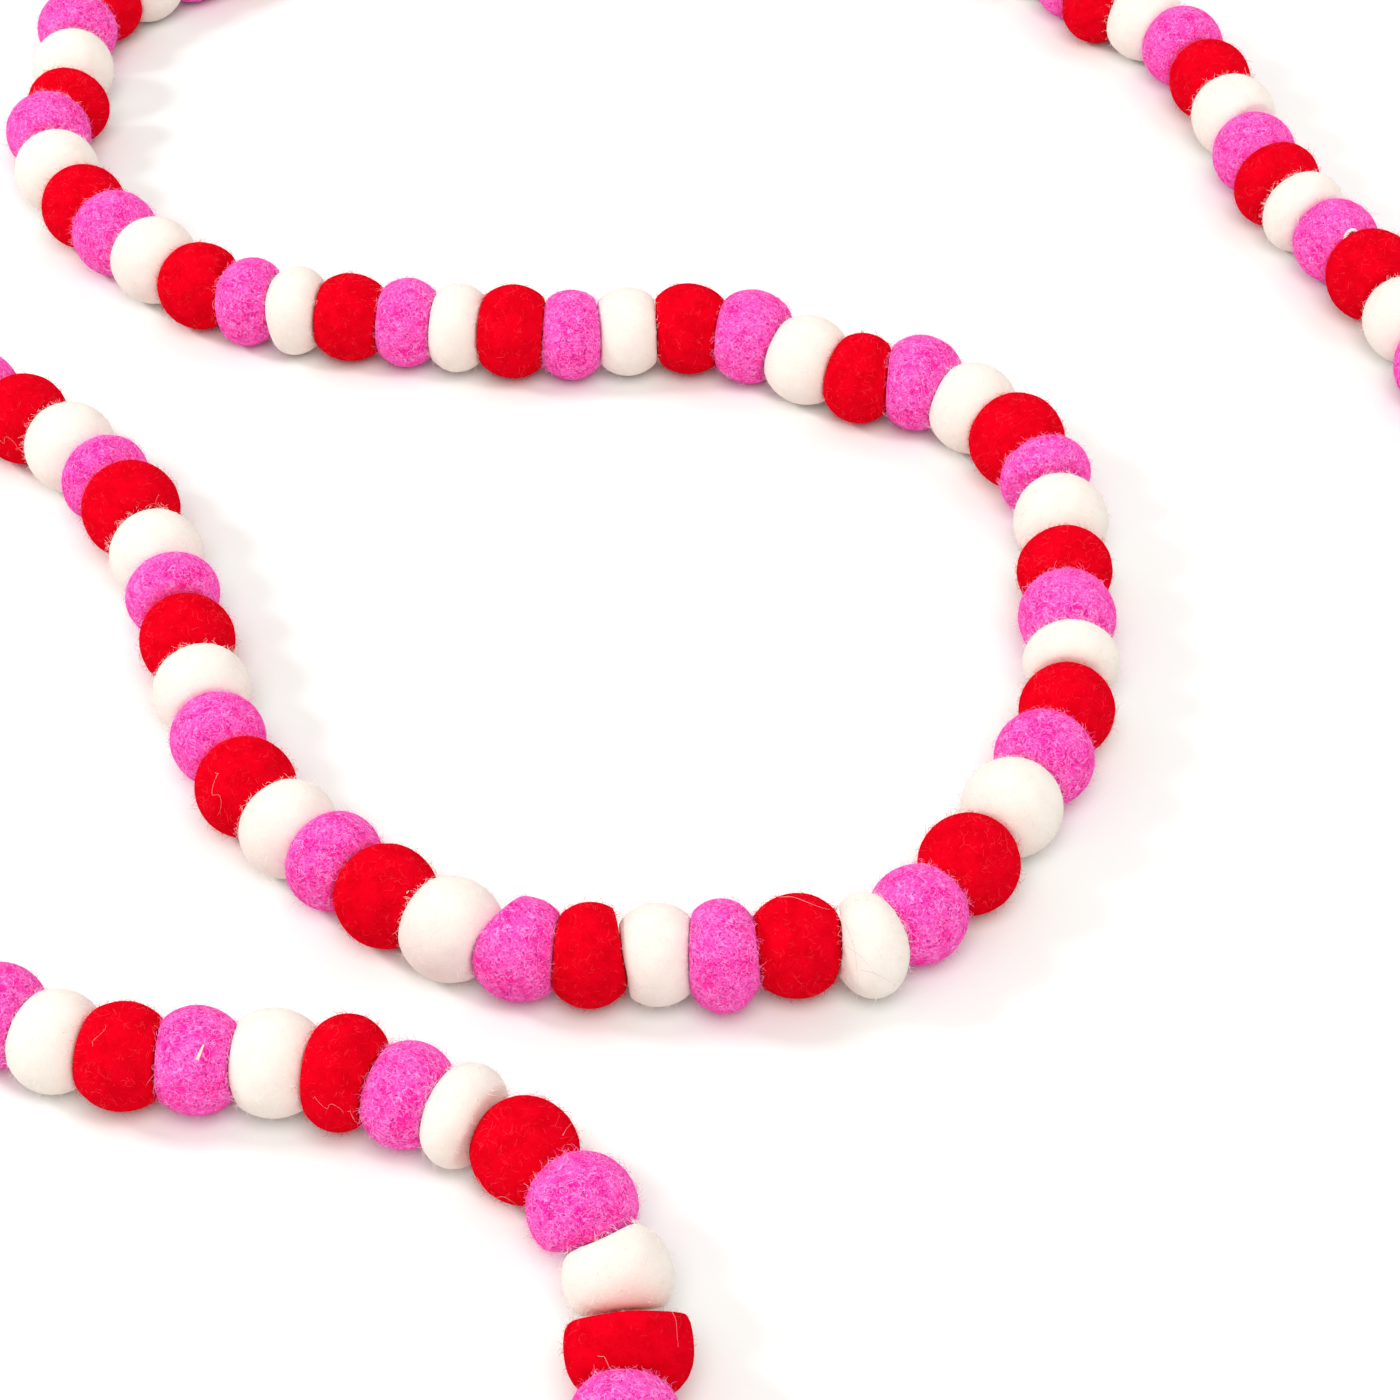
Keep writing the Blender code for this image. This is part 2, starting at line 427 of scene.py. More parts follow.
def felt(name, tones, curl_share, gap_share, relief, grain, sheen, sheen_tint):
    """Wool felt: blotches of two tones, dark gaps between the fibres and pale curls over them."""
    gap, deep, body, curl = tones
    finish = Finish(name)
    place = finish.place()
    blotch = finish.rise(finish.cloud(place, BLOTCH_SIZE, 2.0), *BLOTCH_RISE)
    patchy = finish.rise(finish.cloud(place, PATCH_SIZE), *PATCH_RISE)
    broken = finish.rise(finish.cloud(place, BREAK_SIZE), *BREAK_RISE)
    specks = finish.strands(finish.warped(place, *SPECK_WARP), *SPECK_LINES) * broken
    fine = finish.strands(finish.warped(place, *FINE_WARP), *FINE_LINES)
    loose = finish.strands(finish.warped(place, *LOOSE_WARP), *LOOSE_LINES)
    haze = finish.cloud(place, HAZE_SIZE, 2.0)
    colour = finish.blend(blotch, deep, body)
    colour = finish.blend(fine * curl_share * FINE_TINT, colour, curl)
    colour = finish.blend(specks * gap_share, colour, gap)
    patched = patchy * (1 - LEAST_PATCH) + LEAST_PATCH
    colour = finish.blend(loose * curl_share * patched, colour, curl)
    colour = finish.blend(finish.rise(haze, *HAZE_RISE) * curl_share * HAZE_TINT, colour, curl)
    height = fine * FINE_HEIGHT + loose * LOOSE_HEIGHT - specks
    height = height * relief + haze * grain
    finish.shine(
        Base_Color=colour,
        Roughness=FELT_ROUGHNESS,
        Specular_IOR_Level=0.0,
        Sheen_Weight=sheen,
        Sheen_Roughness=FELT_SHEEN_ROUGHNESS,
        Sheen_Tint=sheen_tint,
        Normal=finish.bump(height, 1.0, 1.0),
    )
    return finish.material


STRAND_TONE_RISE = (0.35, 0.65)


def strand_finish(name, dark, pale, size):
    """Loose wool or cotton: tones that change from fibre to fibre."""
    finish = Finish(name)
    tone = finish.rise(finish.cloud(finish.place(), size), *STRAND_TONE_RISE)
    finish.shine(
        Base_Color=finish.blend(tone, dark, pale),
        Roughness=0.9,
        Specular_IOR_Level=0.1,
        Sheen_Weight=0.2,
        Sheen_Roughness=0.5,
    )
    return finish.material


# Felts, in the order of the colours on the string: name, tones, share of pale curls and of dark gaps,
# depth of the relief and of the grain, sheen and its tint.
FELTS = (
    ("pink_felt", PINK_TONES, 0.75, 1.00, 0.10 * MM, 0.07 * MM, 0.15, (1.0, 0.4, 0.85, 1.0)),
    ("white_felt", WHITE_TONES, 0.35, 0.12, 0.02 * MM, 0.06 * MM, 0.15, (1.0, 0.97, 0.93, 1.0)),
    ("red_felt", RED_TONES, 0.35, 0.35, 0.03 * MM, 0.06 * MM, 0.05, (1.0, 0.02, 0.05, 1.0)),
)

# Loose fibres: the felt or hair that they belong to, name, dark tone, pale tone and size of the
# changes of tone.
FUZZES = (
    ("pink_felt", "pink_fuzz", (0.90, 0.08, 0.42, 1.0), (0.96, 0.40, 0.76, 1.0), 4 * MM),
    ("white_felt", "white_fuzz", (0.66, 0.56, 0.51, 1.0), (0.86, 0.81, 0.77, 1.0), 3 * MM),
    ("red_felt", "red_fuzz", (0.62, 0.001, 0.010, 1.0), (0.76, 0.035, 0.045, 1.0), 4 * MM),
)
HAIRS = (
    ("pale", "pale_hairs", (0.82, 0.40, 0.38, 1.0), (0.90, 0.62, 0.58, 1.0), 3 * MM),
    ("dark", "dark_hairs", (0.10, 0.07, 0.06, 1.0), (0.25, 0.18, 0.15, 1.0), 3 * MM),
    ("straw", "straw_flecks", (0.88, 0.56, 0.46, 1.0), (0.92, 0.70, 0.56, 1.0), 1 * MM),
)
COTTON = ("cotton_thread", (0.82, 0.78, 0.72, 1.0), (0.92, 0.90, 0.86, 1.0), 0.6 * MM)


# Shapes

class Shape:
    """Corners and faces gathered for one piece."""

    def __init__(self):
        self.corners = []
        self.faces = []
        self.finish_numbers = []
        self.normals = []

    def add(self, corners, faces, finish_number=0):
        start = len(self.corners)
        self.corners.extend(corners)
        self.faces.extend([tuple(start + corner for corner in face) for face in faces])
        self.finish_numbers.extend([finish_number] * len(faces))

    def piece(self, name, finishes, slot, *nodes):
        """The finished piece, riding on the part."""
        mesh = bpy.data.meshes.new(name)
        mesh.from_pydata(self.corners, [], self.faces)
        for finish in finishes:
            mesh.materials.append(finish)
        mesh.polygons.foreach_set("material_index", self.finish_numbers)
        mesh.polygons.foreach_set("use_smooth", [True] * len(self.faces))
        mesh.update()
        if self.normals:
            mesh.normals_split_custom_set_from_vertices(self.normals)
        thing = bpy.data.objects.new(name, mesh)
        bpy.context.scene.collection.objects.link(thing)
        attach(thing, "root")
        if nodes:
            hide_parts(*nodes)
        return thing


def ring_faces(rings, spokes):
    """Faces between closed rings of corners."""
    faces = []
    for ring in range(rings - 1):
        for spoke in range(spokes):
            after = (spoke + 1) % spokes
            low = ring * spokes
            high = low + spokes
            faces.append((low + spoke, low + after, high + after, high + spoke))
    return faces


# Balls

class Press:
    """A contact that presses a ball back: its direction and its distance from the ball's middle."""

    def __init__(self, seam, direction, distance, side):
        self.seam = seam
        self.direction = direction
        self.distance = distance
        self.side = side


class Ball:
    """One wool ball, where it lies and what presses on it."""

    def __init__(self, number, place, radius):
        self.number = number
        self.radius = radius
        self.middle = Vector((place.x, place.y, radius * REST_SHARE))
        self.felt = (number - 1) % 3
        self.presses = []
        self.close = any(first <= number <= last for first, last in IN_THE_PICTURE)
        chance = random.Random(number)
        self.shift = Vector([chance.uniform(-LUMP_SHIFT, LUMP_SHIFT) for axis in range(3)])
        self.axis = Vector((1, 0, 0))
        self.reach = radius
        self.squareness = BARREL_SQUARENESS if number == BARREL_BALL else 2.0
        self.firm_share = BARREL_FIRM_SHARE if number == BARREL_BALL else FIRM_SHARE

    def settle(self):
        """Moves the ball midway between its contacts and flattens it if it is squeezed."""
        pull = Vector((0, 0, 0))
        for press in self.presses:
            pull += press.direction * press.side
        self.axis = pull.normalized()
        if len(self.presses) < 2:
            return
        room = sum(press.distance for press in self.presses) / 2
        move = self.axis * sum(press.distance * press.side for press in self.presses) / 2
        self.middle += move
        for press in self.presses:
            press.distance -= move.dot(press.direction)
        self.reach = min(max(room / self.firm_share, LEAST_REACH * self.radius), self.radius)

    def wool(self, direction):
        """The place where the free wool ends in a direction from the middle."""
        swell = 1.0
        for share, rate in LUMPS:
            swell += share * noise.noise(direction * rate + self.shift)
        along = self.axis * direction.dot(self.axis)
        across = direction - along
        power = self.squareness
        swell /= (along.length**power + across.length**power)**(1 / power)
        return self.middle + (along * self.reach + across * self.radius) * swell

    def pressed(self, point):
        """A point of the wool, moved back from the contacts and the floor."""
        for press in self.presses:
            along = (point - self.middle).dot(press.direction)
            softness = press.seam.softness
            if along < press.distance - CONTACT_FREE_FROM * softness - press.seam.play:
                continue
            contact = point + press.direction * (press.distance - along)
            limit = press.distance - SEAM_GAP / 2 + press.side * seam_relief(press.seam, contact)
            point = point + press.direction * (soft_limit(along, limit, softness) - along)
        depth = self.middle.z - point.z
        kept = soft_limit(depth, self.middle.z, FLOOR_SOFTNESS)
        return Vector((point.x, point.y, self.middle.z - kept))


def soft_limit(value, limit, softness):
    """The value, bent so that it nears the limit and never passes it."""
    free = (limit - value) / softness
    if free > LIMIT_FREE_FROM:
        return value
    return limit - softness * math.log1p(math.exp(free))


def seam_relief(seam, place):
    """How far the contact between two balls strays from its plane."""
    uneven = noise.noise(place / SEAM_RELIEF_SIZE)
    across = (place - seam.middle).dot(seam.bow_direction) / (BALL_DIAMETER / 2)
    edge = (place - seam.middle).dot(seam.across) / (BALL_DIAMETER / 2)
    edge = max(-1.0, min(1.0, edge))
    height = (place - seam.middle).dot(seam.upward) / (BALL_DIAMETER / 2)
    shaped = seam.lean * edge + seam.bend * edge * edge + seam.overhang * height
    return SEAM_RELIEF * uneven + seam.bow * across * across + shaped


class Seam:
    """The contact between a ball and the next one."""

    def __init__(self, number, before, after):
        reach = after.middle - before.middle
        distance = reach.length
        share = (distance**2 + before.radius**2 - after.radius**2) / (2 * distance)
        rows = [row[1:] for row in SOFT_CONTACTS if row[0] == number]
        shift, lean, bend = rows[0] if rows else (0, 0, 0)
        share += shift * MM
        direction = reach / distance
        chance = random.Random(SEAM_SEED + number)
        turn = chance.uniform(0, math.tau)
        side = direction.cross(Vector((0, 0, 1))).normalized()
        lift = side.cross(direction)
        self.middle = before.middle + direction * share
        self.rim = math.sqrt(max(min(before.radius, after.radius)**2 - share**2, 0.0))
        self.direction = direction
        self.bow = chance.uniform(-SEAM_BOW, SEAM_BOW)
        self.bow_direction = side * math.cos(turn) + lift * math.sin(turn)
        self.lean = lean * MM
        self.bend = bend * MM
        self.across = VIEW.cross(direction).normalized()
        self.upward = lift
        self.overhang = OVERHANGS.get(number, 0.0)
        self.softness = OVERHANG_SOFTNESS if self.overhang else SEAM_SOFTNESS
        self.play = SEAM_RELIEF + abs(self.bow) + abs(self.lean) + abs(self.bend) + self.overhang
        before.presses.append(Press(self, direction, share, 1))
        after.presses.append(Press(self, -direction, distance - share, -1))


def make_balls():
    """All balls by number, and the contacts between them."""
    route = SmoothRoute(ROUTE)
    radii = ball_radii()
    balls = {number: Ball(number, route.at(number), radii[number]) for number in radii}
    seams = {number: Seam(number, balls[number], balls[number + 1]) for number in range(1, BALL_COUNT)}
    for ball in balls.values():
        ball.settle()
    return balls, seams


def contact_angle(ball, spoke, press, end):
    """Angle from the axis at which the ball's free surface meets a contact near one end of the axis."""
    if press is None:
        return abs(end - FREE_END_ANGLE)
    forward = press.direction.dot(ball.axis) * ball.reach
    sideways = press.direction.dot(spoke) * ball.radius
    lean = math.atan2(sideways, forward)
    distance = press.distance
    for step in range(2):
        opening = math.acos(max(-1.0, min(1.0, distance / math.hypot(forward, sideways))))
        if end > 0:
            angle = min(lean % math.tau - opening, math.pi - LEAST_CAP_ANGLE)
        else:
            angle = max(lean + opening, LEAST_CAP_ANGLE)
        rim = ball.wool(ball.axis * math.cos(angle) + spoke * math.sin(angle))
        distance = press.distance + press.side * seam_relief(press.seam, rim)
    return angle


def add_ball(shape, ball):
    """The wool of one ball: rings across the string, closest together beside the contacts."""
    ahead = next((press for press in ball.presses if press.side == 1), None)
    behind = next((press for press in ball.presses if press.side == -1), None)
    side = ball.axis.cross(Vector((0, 0, 1))).normalized()
    lift = side.cross(ball.axis)
    rings = CLOSE_RINGS if ball.close else FAR_RINGS
    spokes = CLOSE_SPOKES if ball.close else FAR_SPOKES
    columns = []
    for number in range(spokes):
        turn = math.tau * number / spokes
        spoke = side * math.cos(turn) + lift * math.sin(turn)
        start = contact_angle(ball, spoke, ahead, 0)
        stop = contact_angle(ball, spoke, behind, math.pi)
        angles = [start * share for share in reversed(HIDDEN_RINGS)]
        for ring in range(rings + 1):
            even = ring / rings
            eased = 0.5 - 0.5 * math.cos(math.pi * even)
            angles.append(start + (stop - start) * (even + eased) / 2)
        angles += [math.pi - (math.pi - stop) * share for share in HIDDEN_RINGS]
        column = []
        for angle in angles:
            direction = ball.axis * math.cos(angle) + spoke * math.sin(angle)
            column.append(ball.pressed(ball.wool(direction)))
        columns.append(column)
    count = len(columns[0])
    corners = [columns[spoke][ring] for ring in range(count) for spoke in range(spokes)]
    faces = ring_faces(count, spokes)
    for pole, ring in ((ball.axis, 0), (-ball.axis, count - 1)):
        corners.append(ball.pressed(ball.wool(pole)))
        tip = len(corners) - 1
        for spoke in range(spokes):
            rim = (ring * spokes + spoke, ring * spokes + (spoke + 1) % spokes)
            faces.append((tip, rim[1], rim[0]) if ring == 0 else (tip, rim[0], rim[1]))
    shape.add(corners, faces, ball.felt)


def make_felt_balls(balls, felts):
    for index in range(BALL_COUNT // BALLS_PER_TRIO):
        shape = Shape()
        first = index * BALLS_PER_TRIO + 1
        for number in range(first, first + BALLS_PER_TRIO):
            add_ball(shape, balls[number])
        shape.piece(f"felt_balls_{index + 1:02d}", felts, "wool_felt", f"ball_trio_{index + 1:02d}")


# Fuzz

class Fibres:
    """How one kind of loose fibre grows: all lengths in metres."""

    def __init__(self, count, lengths, width, rise, curl, turns, joints, rim):
        self.count = count
        self.lengths = lengths
        self.width = width
        self.rise = rise
        self.curl = curl
        self.turns = turns
        self.joints = joints
        self.rim = rim


SHORT_FIBRES = Fibres(
    count=520,
    lengths=(0.8 * MM, 2.8 * MM),
    width=0.085 * MM,
    rise=(0.15, 0.75),
    curl=0.26 * MM,
    turns=(0.5, 1.5),
    joints=5,
    rim=None,
)
LONG_FIBRES = Fibres(
    count=40,
    lengths=(2.5 * MM, 5.0 * MM),
    width=0.085 * MM,
    rise=(0.02, 0.30),
    curl=0.55 * MM,
    turns=(0.8, 2.0),
    joints=11,
    rim=None,
)
RIM_FIBRES = Fibres(
    count=1300,
    lengths=(0.8 * MM, 2.4 * MM),
    width=0.066 * MM,
    rise=(0.05, 0.50),
    curl=0.40 * MM,
    turns=(0.6, 1.8),
    joints=5,
    rim=0.9 * MM,
)
MATTED_FIBRES = Fibres(
    count=170,
    lengths=(2.0 * MM, 4.5 * MM),
    width=0.100 * MM,
    rise=(0.0, 0.06),
    curl=0.40 * MM,
    turns=(0.8, 2.0),
    joints=8,
    rim=None,
)
FAR_SHARE = 0.15
ROOT_DEPTH = 0.22 * MM
BARE_RIM = 0.10 * MM
FLOOR_RIM = 3.0 * MM
LEAST_HEIGHT = 0.06 * MM
LIFT_OVER_NEIGHBOUR = 1.012
RIBBON_FACING = (-0.2, -0.5, 0.85)
FUZZ_RUNS = (("near", 1, 66), ("far", 67, 129))

# Random spread of a fibre's curl, and how its rise gathers towards its tip.
CURL_SPREAD = (0.4, 1.4)
RISE_POWER = 1.2

# Ribbons: how far their broad sides scatter, how far their shading turns outward, and the width that
# is left at the tip.
FACING_SCATTER = 0.25
OUTWARD_SHARE = 0.5
TIP_SHARE = 0.45


def unit(vectors):
    return vectors / np.linalg.norm(vectors, axis=-1, keepdims=True)


def smooth_wool(ball, directions):
    """Where the wool ends in each direction, without its lumps."""
    axis = np.array(ball.axis)
    along = (directions @ axis)[:, None] * axis
    return np.array(ball.middle) + along * ball.reach + (directions - along) * ball.radius


def fibre_roots(ball, fibres, chance):
    """Directions from the ball's middle to places where its wool lies free."""
    count = fibres.count if ball.close else int(fibres.count * FAR_SHARE)
    directions = unit(chance.normal(size=(count, 3)))
    places = smooth_wool(ball, directions)
    free = places[:, 2] > FLOOR_RIM
    near_rim = np.zeros(count, bool)
    for press in ball.presses:
        seam = press.seam
        off_middle = (places - np.array(seam.middle)) / (BALL_DIAMETER / 2)
        edge = np.clip(off_middle @ np.array(seam.across), -1, 1)
        height = off_middle @ np.array(seam.upward)
        relief = seam.lean * edge + seam.bend * edge**2 + seam.overhang * height
        room = press.distance + press.side * relief
        room -= (places - np.array(ball.middle)) @ np.array(press.direction)
        free &= room > BARE_RIM
        if fibres.rim:
            near_rim |= room < fibres.rim
    if fibres.rim:
        free &= near_rim
    return directions[free]


def laid_over(lines, ball):
    """The lines, with what would lie inside a ball moved out onto its wool."""
    axis = np.array(ball.axis)
    places = lines - np.array(ball.middle)
    along = (places @ axis)[..., None] * axis
    depth = np.linalg.norm(along / ball.reach + (places - along) / ball.radius, axis=-1, keepdims=True)
    return np.array(ball.middle) + places * np.maximum(1.0, LIFT_OVER_NEIGHBOUR / depth)


def grow(ball, neighbours, fibres, chance):
    """Middle lines of fibres that leave the wool and curl, as an array of fibre, joint and place."""
    outward = fibre_roots(ball, fibres, chance)
    count = len(outward)
    sideways = unit(np.cross(outward, chance.normal(size=(count, 3))))
    across = np.cross(outward, sideways)
    length = chance.uniform(*fibres.lengths, count)[:, None]
    rise = chance.uniform(*fibres.rise, count)[:, None]
    turns = chance.uniform(*fibres.turns, count)[:, None]
    start = chance.uniform(0, math.tau, count)[:, None]
    curl = fibres.curl * chance.uniform(*CURL_SPREAD, count)[:, None]
    lines = []
    for share in np.linspace(0, 1, fibres.joints + 1):
        turn = start + math.tau * turns * share
        bend = length * share * np.sqrt(1 - rise**2) / ball.radius
        direction = outward * np.cos(bend) + sideways * np.sin(bend)
        height = length * rise * share**RISE_POWER + curl * share * (1 + np.cos(turn))
        sway = across * curl * (np.sin(turn) - np.sin(start))
        lines.append(smooth_wool(ball, direction) + direction * (height - ROOT_DEPTH) + sway)
    lines = np.stack(lines, axis=1)
    for neighbour in neighbours:
        lines = laid_over(lines, neighbour)
    lines[:, :, 2] = np.maximum(lines[:, :, 2], LEAST_HEIGHT)
    return lines


def add_ribbons(shape, lines, outward, width, chance):
    """Thin tapered ribbons along middle lines, with their broad sides turned up to the light."""
    count, joints = lines.shape[:2]
    run = np.gradient(lines, axis=1)
    facing = np.array(RIBBON_FACING) + FACING_SCATTER * chance.normal(size=(count, 1, 3))
    lean = unit(np.cross(run, facing))
    taper = np.linspace(1.0, TIP_SHARE, joints)[None, :, None]
    reach = lean * taper * width / 2
    corners = np.stack([lines - reach, lines + reach], axis=2).reshape(-1, 3)
    first = np.arange(count)[:, None] * joints * 2 + np.arange(joints - 1)[None, :] * 2
    faces = np.stack([first, first + 1, first + 3, first + 2], axis=2).reshape(-1, 4)
    shape.add(corners.tolist(), faces.tolist())
    normals = unit(outward * OUTWARD_SHARE + facing)
    shape.normals.extend(np.repeat(normals, 2, axis=1).reshape(-1, 3).tolist())


def make_fuzz(balls, finishes):
    """The loose fibres of each colour, in two runs of balls."""
    for colour, (slot, finish) in enumerate(finishes):
        kinds = [SHORT_FIBRES, LONG_FIBRES, RIM_FIBRES]
        if slot == "pink_felt":
            kinds.append(MATTED_FIBRES)
        for run, first, last in FUZZ_RUNS:
            shape = Shape()
            for number in range(first, last + 1):
                ball = balls[number]
                if ball.felt != colour:
                    continue
                neighbours = [balls[beside] for beside in (number - 1, number + 1) if beside in balls]
                chance = np.random.default_rng(number)
                for fibres in kinds:
                    lines = grow(ball, neighbours, fibres, chance)
                    outward = unit(lines - np.array(ball.middle))
                    add_ribbons(shape, lines, outward, fibres.width, chance)
            fuzz = shape.piece(slot.replace("felt", f"fuzz_{run}"), [finish], slot)
            fuzz.visible_shadow = False


# Stray hairs, each on one ball as the camera sees it. Columns: ball, start across and above the
# ball's middle, end across and above it, curl, all in mm, turns of the curl, width in mm and tone.
STRAY_HAIRS = (
    (69, -4.5, 11.4, 7.0, 9.2, 0.5, 0.8, 0.07, "pale"),
    (69, -11.0, 1.8, -8.4, 0.2, 0.4, 0.6, 0.07, "pale"),
    (69, -9.4, -6.2, -7.4, -5.4, 0.2, 0.5, 0.07, "pale"),
    (68, -6.5, 1.4, 2.0, -7.2, 0.8, 0.5, 0.045, "dark"),
    (68, -3.0, -4.6, 7.0, -8.4, 0.6, 0.7, 0.045, "dark"),
    (68, -6.0, 6.2, -2.5, -8.6, 0.7, 0.6, 0.045, "dark"),
    (120, -6.2, -4.2, 1.5, -7.4, 0.7, 1.8, 0.05, "pale"),
    (120, 1.5, -6.9, 5.0, -10.6, 0.6, 1.2, 0.05, "pale"),
    (120, -11.0, 4.0, -9.5, 7.5, 0.8, 1.2, 0.05, "pale"),
    (123, 8.4, 4.0, 10.4, 6.4, 0.3, 0.5, 0.07, "pale"),
    (123, -11.6, -5.0, -1.0, -11.6, 0.8, 1.6, 0.06, "pale"),
    (78, -6.0, 4.6, -5.0, -5.6, 1.0, 1.6, 0.06, "pale"),
    (78, 3.4, -7.6, 9.4, 1.0, 1.0, 2.1, 0.06, "pale"),
    (75, 9.6, -2.0, 6.6, -9.8, 0.9, 2.2, 0.06, "pale"),
    (72, 8.2, 8.8, 10.0, 5.0, 0.7, 1.3, 0.06, "pale"),
    (72, 9.4, -6.0, 9.8, -8.4, 0.8, 1.2, 0.06, "pale"),
    (126, -6.6, 1.0, 2.4, -7.0, 0.9, 1.3, 0.06, "pale"),
    (126, 8.4, 9.4, 10.6, 2.0, 0.4, 0.7, 0.06, "pale"),
    (118, 1.7, 1.4, 3.0, 4.6, 0.0, 0.0, 0.85, "straw"),
    (75, 5.6, 1.4, 6.0, 1.9, 0.0, 0.0, 0.35, "straw"),
    (117, -5.0, 3.0, -2.2, 8.0, 0.5, 1.0, 0.05, "pale"),
    (84, 3.0, -4.0, 8.8, 2.4, 0.9, 2.2, 0.05, "pale"),
    (81, -5.6, -6.4, 3.6, -9.6, 0.9, 2.0, 0.05, "pale"),
    (87, -7.0, -4.0, 2.0, -9.0, 1.0, 2.2, 0.05, "pale"),
)
HAIR_JOINTS = 26
HAIR_SEED = 3

# A hair's height over the wool in its middle, the share of it at the ends, and how long and how quick
# the loops along a hair are beside those across it.
HAIR_LIFT = 0.45 * MM
HAIR_END_LIFT = 0.4
LOOP_LENGTH = 0.9
LOOP_RATE = 1.3


def view_place(ball, across, above):
    """The place on the front of a ball, as the camera sees it."""
    tilt = math.radians(CAMERA_TILT)
    upward = np.array((0.0, math.sin(tilt), math.cos(tilt)))
    nearer = np.array((0.0, -math.cos(tilt), math.sin(tilt)))
    rest = math.sqrt(max(ball.radius**2 - across**2 - above**2, 0.0))
    aside = np.array((across, 0.0, 0.0))
    return np.array(ball.middle) + aside + upward * above + nearer * rest


def make_stray_hairs(balls, finishes):
    chance = np.random.default_rng(HAIR_SEED)
    for tone, finish in finishes.items():
        shape = Shape()
        for number, left, low, right, high, curl, turns, width, kind in STRAY_HAIRS:
            if kind != tone:
                continue
            ball = balls[number]
            start = np.array((left, low)) * MM
            run = np.array((right, high)) * MM - start
            ahead = run / np.linalg.norm(run)
            aside = np.array((-ahead[1], ahead[0]))
            line = []
            for share in np.linspace(0, 1, HAIR_JOINTS):
                turn = math.tau * turns * share
                loop = aside * math.sin(turn) + LOOP_LENGTH * ahead * math.cos(turn * LOOP_RATE)
                across, above = start + run * share + loop * curl * MM
                place = view_place(ball, across, above)
                bow = HAIR_END_LIFT + (1 - HAIR_END_LIFT) * math.sin(math.pi * share)
                lift = HAIR_LIFT * bow
                line.append(place + unit(place - np.array(ball.middle)) * lift)
            lines = np.array([line])
            outward = unit(lines - np.array(ball.middle))
            add_ribbons(shape, lines, outward, width * MM, chance)
        shape.piece(f"stray_hairs_{tone}", [finish], "white_felt")


# Thread

THREAD_RADIUS = 0.55 * MM
CORE_SIDES = 6
PLY_COUNT = 3
PLY_SIDES = 6
PLY_RADIUS = 0.30 * MM
PLY_OFFSET = 0.30 * MM
PLY_LAY = 2.6 * MM
PLY_STEP = 0.28 * MM
KNOT_WRAPS = 2.5
KNOT_WRAP_RADIUS = 1.35 * MM
KNOT_START = 1.2 * MM
KNOT_LENGTH = 3.0 * MM
WRAP_STEPS = 48
WRAP_START = 0.6
WRAP_EASE = 5

# The tail beyond the knot: share of its length, drop and sideways bend at two points.
TAIL_END = 8.4 * MM
TAIL_BENDS = ((0.8, 0.5 * MM, 0.4 * MM), (1.0, 1.3 * MM, 1.2 * MM))

# The arc of thread that stands out of one contact.
ARC_HEIGHT = 1.0 * MM
ARC_HALF_WIDTH = 2.0 * MM
ARC_DEPTH = 3.0 * MM
ARC_SEAM = 3
ARC_TURN = 103.0
ARC_STEPS = 15
ARC_ROUNDNESS = 0.6


def evenly(points, step):
    """Points at even steps along a line."""
    points = np.array(points)
    spans = np.linalg.norm(np.diff(points, axis=0), axis=1)
    travel = np.concatenate([[0.0], np.cumsum(spans)])
    wanted = np.linspace(0, travel[-1], max(int(travel[-1] / step), 2) + 1)
    return np.stack([np.interp(wanted, travel, points[:, axis]) for axis in range(3)], axis=1), wanted


ASKEW = (0.3, 0.2, 1.0)


def frames(points):
    """Two directions square to the line at each point, which turn no more than they must."""
    runs = unit(np.gradient(points, axis=0))
    first = unit(np.cross(runs[0], ASKEW))
    sides = []
    for run in runs:
        first = unit(first - run * np.dot(first, run))
        sides.append(first)
    sides = np.array(sides)
    return sides, np.cross(runs, sides)


def add_tube(shape, points, radius, sides):
    """A round tube along points, closed at both ends."""
    points = np.array(points)
    first, second = frames(points)
    turns = np.arange(sides) * math.tau / sides
    rings = []
    for point, one, two in zip(points, first, second):
        rings.extend(point + radius * (math.cos(turn) * one + math.sin(turn) * two) for turn in turns)
    last = (len(points) - 1) * sides
    faces = ring_faces(len(points), sides)
    faces.append(tuple(reversed(range(sides))))
    faces.append(tuple(range(last, last + sides)))
    shape.add([tuple(ring) for ring in rings], faces)


def add_plied(shape, points):
    """A thread of three twisted plies along points."""
    points, travel = evenly(points, PLY_STEP)
    first, second = frames(points)
    for ply in range(PLY_COUNT):
        turn = math.tau * (travel / PLY_LAY + ply / PLY_COUNT)
        offset = np.cos(turn)[:, None] * first + np.sin(turn)[:, None] * second
        add_tube(shape, points + offset * PLY_OFFSET, PLY_RADIUS, PLY_SIDES)


def thread_end(ball, outward):
    """The knot close to the wool and the tail beyond it: two lines that run into each other."""
    out = np.array(outward)
    side = unit(np.cross(out, (0.0, 0.0, 1.0)))
    lift = np.cross(side, out)
    start = np.array(ball.middle) + out * ball.reach
    tail = [start - out * KNOT_START, start + out * (KNOT_START + KNOT_LENGTH)]
    for share, drop, aside in TAIL_BENDS:
        tail.append(start + out * TAIL_END * share - lift * drop + side * aside)
    wrap = []
    for share in np.linspace(0, 1, WRAP_STEPS):
        turn = math.tau * KNOT_WRAPS * share
        wide = KNOT_WRAP_RADIUS * min(1.0, WRAP_EASE * share, WRAP_EASE * (1 - share))
        along = KNOT_START * WRAP_START + KNOT_LENGTH * share
        wrap.append(start + out * along + wide * (side * math.cos(turn) + lift * math.sin(turn)))
    return tail, wrap


